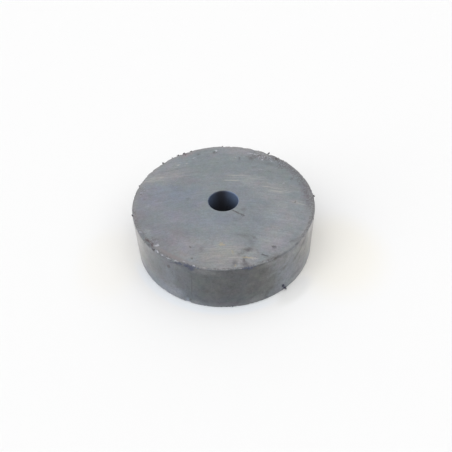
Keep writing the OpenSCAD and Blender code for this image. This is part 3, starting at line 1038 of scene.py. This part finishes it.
def wall_finish(build, fields):
    """Colour of the fired outer wall, partly painted: shade at its front, reflection at its flanks and light
    from the floor at its foot.
    """
    # The ramp starts at the back, where the front angle jumps from half a turn to minus half a turn.
    sway = fields.woven((1.0, math.radians(-12)), upright=math.radians(4), blotch=math.radians(16),
                        mottle=math.radians(4))
    turned = build.math("ADD", fields.front_angle, sway)
    around = build.math("FRACT", build.math("MULTIPLY_ADD", turned, 1 / (2 * math.pi), 0.5))
    ramp = build.add("ShaderNodeValToRGB", {"Fac": around})
    elements = ramp.color_ramp.elements
    elements.remove(elements[-1])
    first, last = WALL_ZONES[0][0], WALL_ZONES[-1][0]
    for i, (bearing, name) in enumerate(WALL_ZONES):
        position = (bearing - first) / (last - first)
        stop = elements[0] if i == 0 else elements.new(position)
        stop.position = position
        stop.color = build.coloured(name)

    shade = fields.woven((1.0, -0.70), blotch=0.94, upright=0.16, mottle=0.78, speck=0.78, grain=0.58,
                         cloud=0.20)
    colour = build.scaled(ramp.outputs["Color"], shade)
    # Painted light from the floor: the wall is lighter and bluer towards its foot, and paler still at the
    # foot of the front.
    foot = build.mix(build.remap(fields.z, 5.5, 0.5), (1.0, 1.0, 1.0, 1.0), (1.06, 1.11, 1.18, 1.0))
    colour = build.vector("MULTIPLY", colour, foot)
    floor_light_at_front_foot = build.product(build.remap(fields.z, 1.9, 0.5), build.remap(fields.y, -12.0, -15.0), 0.17)
    colour = fields.drift(build.coat(floor_light_at_front_foot, colour, "haze_and_painted_reflection"), (0.03, 0.0, -0.03), (-0.024, 0.028, -0.014))
    unrolled = build.shifted(build.joined(fields.arc, fields.z), build.wobble(fields.place, 2.0), 0.8)
    marks = soft_spots(build, unrolled, along_wall(WALL_MARKS), 0.0)
    for kind in ("olive_and_painted_shade", "haze_and_painted_reflection", "cool", "green", "plum"):
        colour = build.coat(marks[kind], colour, kind, shade)
    specks = build.product(build.remap(fields.speck, 0.60, 0.74), 0.35)
    colour = build.coat(specks, colour, "dark", shade)
    smudged = build.product(marks["smudge"], fields.woven((1.0, 0.5), mottle=0.9), 0.8)
    colour = build.coat(smudged, colour, "smudge", shade)
    return fields.lay_marks(colour, marks, {"dark": 0.80, "spall": 0.80, "rust": 0.50})


def rim_finish(build, fields, colour):
    """Adds the marks that wrap over the upper rim, chips and all."""
    wrapped = build.joined(fields.arc, build.math("ADD", fields.z, fields.inward))
    wrapped = build.shifted(wrapped, build.wobble(fields.place, 1.8), 1.0)
    marks = soft_spots(build, wrapped, along_wall(RIM_MARKS), 0.0)
    near_rim = build.product(build.remap(fields.inward, 2.0, 1.4), build.remap(fields.z, 6.0, 8.0))
    colour = build.coat(build.product(marks["tan"], near_rim, fields.upper), colour, "tan")
    shares = {"dark": 0.85, "brown": 0.85, "spall": 0.90, "cream": 0.80, "pale": 0.90}
    return fields.lay_marks(colour, marks, shares, near_rim)


def bore_finish(build, fields):
    """Colour of the bore, with painted bluish light on its two flanks and painted shade that deepens away
    from the upper mouth.
    """
    sideways = build.math("DIVIDE", fields.x, fields.distance)
    flanks = build.largest(build.remap(sideways, -0.1, 0.75), build.remap(sideways, -0.2, -1.0, 0.0, 0.6))
    # Painted light that falls in at the upper mouth: the bore is lighter there and darker deeper down.
    lit_near_mouth = build.remap(fields.z, 0.45 * HEIGHT_MM, 0.97 * HEIGHT_MM)
    flank_painted_light = build.product(flanks, build.math("MULTIPLY_ADD", lit_near_mouth, 0.85, 0.15))
    colour = build.coat(flank_painted_light, build.coloured("bore"), "bore_painted_light")
    return build.scaled(colour, fields.woven((lit_near_mouth, 0.75), (1.0, 0.42), upright=0.5, speck=0.5))


def ferrite_material(colours, bore_radius):
    """Ground and fired ferrite, with broken places where the mesh says so."""
    material, build, surface, place = new_material("worn_ferrite", colours)
    fields = FerriteFields(build, place, bore_radius)
    colour = build.mix(fields.wall, face_finish(build, fields), wall_finish(build, fields))
    colour = build.mix(fields.bore, colour, bore_finish(build, fields))

    broken = build.add("ShaderNodeAttribute", attribute_name="break_mask").outputs["Fac"]
    tone = build.add("ShaderNodeAttribute", attribute_name="break_tone").outputs["Fac"]
    paleness = build.total((tone, 0.5), (fields.speck, 0.8), (1.0, 0.05))
    fracture = build.coat(build.remap(paleness, 0.35, 1.0), build.coloured("fracture"), "pale")
    fracture = build.mix(0.4, fracture, colour)
    colour = build.mix(build.product(broken, 0.8), colour, fracture)
    build.feed(surface["Base Color"], rim_finish(build, fields, colour))

    build.feed(surface["Roughness"], fields.woven((broken, 0.18), (1.0, 0.27), mottle=0.10, grain=0.12))
    ground = build.minus(1.0, fields.wall)
    raise_surface(build, surface, build.total(
        (fields.grain, 0.008), (build.product(fields.arcs_fine, ground), 0.012),
        (build.product(fields.arcs, ground), 0.010), (build.product(fields.upright, fields.wall), 0.016),
        (build.product(fields.grain, broken), 0.05)))
    return material


def table_material(stage):
    """White table top with a painted warm tint in the shadows beside the magnet, a painted shadow at its
    front-right foot and a cool fringe under its front edge.
    """
    material, build, surface, place = new_material("white_table", stage)
    casts = soft_spots(build, place, FLOOR_CASTS, 0.4)
    colour = build.coloured("floor_colour")
    for kind in casts:
        colour = build.coat(casts[kind], colour, "floor_" + kind)
    facing = build.vector("DOT_PRODUCT", build.vector("NORMALIZE", place), FRINGE_DIRECTION)
    fringe = build.product(
        build.remap(build.vector("LENGTH", place), RADIUS_MM + FRINGE_FAR, RADIUS_MM + FRINGE_NEAR),
        build.remap(facing, *FRINGE_SPREAD))
    build.feed(surface["Base Color"], build.coat(fringe, colour, "floor_cool"))
    surface["Roughness"].default_value = 0.9
    surface["Specular IOR Level"].default_value = 0.0
    return material


def dust_material(colours):
    """Dull iron dust, each grain a little lighter or rustier than the next."""
    material, build, surface, place = new_material("iron_dust", colours)
    grain = build.noise(place, 12.0, 2.0)
    rusty = build.remap(build.noise(place, 2.4, 2.0), 0.50, 0.70, 0.0, 0.7)
    dusty = build.coat(build.remap(build.parts(place)["Z"], 4.0, 2.0), build.coloured("dust"), "blue_dust")
    tinted = build.coat(rusty, dusty, "rust")
    build.feed(surface["Base Color"], build.scaled(tinted, build.total((grain, 1.2), (1.0, 0.4))))
    build.feed(surface["Roughness"], build.total((grain, 0.3), (1.0, 0.4)))
    raise_surface(build, surface, build.product(grain, 0.02))
    return material


class MAGNET_OT_body(bpy.types.Operator):
    """Turn the ferrite disc, knock its chips out and give it its finish"""

    bl_idname = "magnet.body"
    bl_label = "Ferrite Disc"

    def execute(self, context):
        sizes = context.scene.magnet_sizes
        outline = section_outline(sizes)
        turning_radius = (sizes.bore_radius + DISC_RADIUS) / 2
        section = mesh_object("magnet_section", [(r - turning_radius, -z, 0.0) for r, z in outline],
                              [(i, (i + 1) % len(outline)) for i in range(len(outline))])
        rows = [(row, True) for row in TOP_CHIPS] + [(row, False) for row in BOTTOM_CHIPS]
        balls = [chip_ball(row, sizes.rim_break, top) for row, top in rows + scattered_nicks(sizes)]
        balls += [ball for row in GOUGES for ball in gouge_balls(row)]
        centres, radii, tones = zip(*balls)
        cloud = mesh_object("chip_balls", centres, ball_radius=radii, tone=tones)
        piece = lathe_tree().run_on(section, "magnet_body", {
            "Turning radius": turning_radius, "Disc radius": DISC_RADIUS,
            "Steps round": sizes.steps_round, "Chip balls": cloud, "Chip count": len(balls),
            "Wall unevenness": sizes.unevenness,
            "Finish": ferrite_material(context.scene.magnet_colours, sizes.bore_radius)}, [cloud])
        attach(piece, BODY)
        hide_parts(NODE)
        return {"FINISHED"}


class MAGNET_OT_dust(bpy.types.Operator):
    """Seat the iron dust that the magnet holds on its rims"""

    bl_idname = "magnet.dust"
    bl_label = "Iron Dust"

    def execute(self, context):
        bearings, heights, spreads, piles, counts, grain_sizes = zip(*DUST_SEATS)
        places = [on_rim(bearing, DISC_RADIUS, height * MM) for bearing, height in zip(bearings, heights)]
        seats = mesh_object("dust_seats", places, spread=[spread * MM for spread in spreads],
                            pile=[pile * MM for pile in piles], grains=counts,
                            size=[size * MM for size in grain_sizes])
        piece = dust_tree().run_on(seats, "clinging_dust", {
            "Disc": bpy.data.objects["magnet_body"], "Disc radius": DISC_RADIUS,
            "Disc height": DISC_HEIGHT, "Seed": context.scene.magnet_sizes.seed,
            "Finish": dust_material(context.scene.magnet_colours)})
        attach(piece, BODY)
        return {"FINISHED"}


class MAGNET_OT_stage(bpy.types.Operator):
    """Lay the floor and set up the lights and the camera"""

    bl_idname = "magnet.stage"
    bl_label = "Stage"

    def execute(self, context):
        scene = context.scene
        scene.view_settings.view_transform = "Standard"
        self.lay_floor(scene.magnet_stage)
        self.light_room(scene, scene.magnet_stage)
        self.hang_lamps()
        self.set_camera(scene, scene.magnet_stage)
        return {"FINISHED"}

    def lay_floor(self, stage):
        half = stage.floor_size / 2
        corners = [(-half, -half, 0), (half, -half, 0), (half, half, 0), (-half, half, 0)]
        floor = mesh_object("floor", corners, faces=[(0, 1, 2, 3)])
        floor.data.materials.append(table_material(stage))

    def light_room(self, scene, stage):
        """White to the eye and in reflections, dimmer as a source of light."""
        world = bpy.data.worlds.new("room_light")
        world.use_nodes = True
        build = NodeBuilder(world.node_tree)
        path = build.add("ShaderNodeLightPath").outputs
        seen = build.largest(path["Is Camera Ray"], path["Is Glossy Ray"], path["Is Transmission Ray"])
        background = world.node_tree.nodes["Background"]
        background.inputs["Color"].default_value = (1, 1, 1, 1)
        build.feed(background.inputs["Strength"],
                   build.math("MULTIPLY_ADD", seen, 1 - stage.room_light, stage.room_light))
        scene.world = world

    def hang_lamps(self):
        for name, compass, elevation, width, share in LAMPS:
            compass, elevation = math.radians(compass), math.radians(elevation)
            lamp = bpy.data.lights.new(name, "SUN")
            lamp.angle = math.radians(width)
            lamp.energy = share * math.pi / math.sin(elevation)
            source = new_object(name, lamp)
            direction = Vector((math.sin(compass) * math.cos(elevation),
                                math.cos(compass) * math.cos(elevation), math.sin(elevation)))
            source.rotation_mode = "QUATERNION"
            source.rotation_quaternion = direction.to_track_quat("Z", "Y")
            source.location = direction

    def set_camera(self, scene, stage):
        lens = bpy.data.cameras.new("camera")
        lens.lens = stage.lens
        lens.clip_start = MM
        camera = new_object("camera", lens)
        camera.location = CAMERA_PLACE
        pitch, yaw, roll = (math.radians(angle) for angle in (CAMERA_PITCH, CAMERA_YAW, CAMERA_ROLL))
        forward = Vector((math.sin(yaw) * math.cos(pitch), math.cos(yaw) * math.cos(pitch), -math.sin(pitch)))
        camera.rotation_mode = "QUATERNION"
        camera.rotation_quaternion = forward.to_track_quat("-Z", "Y") @ Quaternion((0, 0, 1), roll)
        scene.camera = camera


class MAGNET_PT_panel(bpy.types.Panel):
    """Sizes, colours and steps of the magnet"""

    bl_label = "Magnet"
    bl_idname = "MAGNET_PT_panel"
    bl_space_type = "VIEW_3D"
    bl_region_type = "UI"
    bl_category = "Magnet"

    def draw(self, context):
        scene = context.scene
        for group in (scene.magnet_sizes, scene.magnet_colours, scene.magnet_stage):
            column = self.layout.column(align=True)
            for name in group.__annotations__:
                column.prop(group, name)
        for operator in OPERATORS:
            self.layout.operator(operator.bl_idname)


OPERATORS = (MAGNET_OT_body, MAGNET_OT_dust, MAGNET_OT_stage)
CLASSES = (MagnetSizes, MagnetColours, StageSettings, *OPERATORS, MAGNET_PT_panel)


def register():
    for cls in CLASSES:
        bpy.utils.register_class(cls)
    bpy.types.Scene.magnet_sizes = bpy.props.PointerProperty(type=MagnetSizes)
    bpy.types.Scene.magnet_colours = bpy.props.PointerProperty(type=MagnetColours)
    bpy.types.Scene.magnet_stage = bpy.props.PointerProperty(type=StageSettings)


def unregister():
    del bpy.types.Scene.magnet_stage
    del bpy.types.Scene.magnet_colours
    del bpy.types.Scene.magnet_sizes
    for cls in reversed(CLASSES):
        bpy.utils.unregister_class(cls)


def main():
    register()
    bpy.ops.magnet.body()
    bpy.ops.magnet.dust()
    bpy.ops.magnet.stage()


if __name__ == "__main__":
    main()
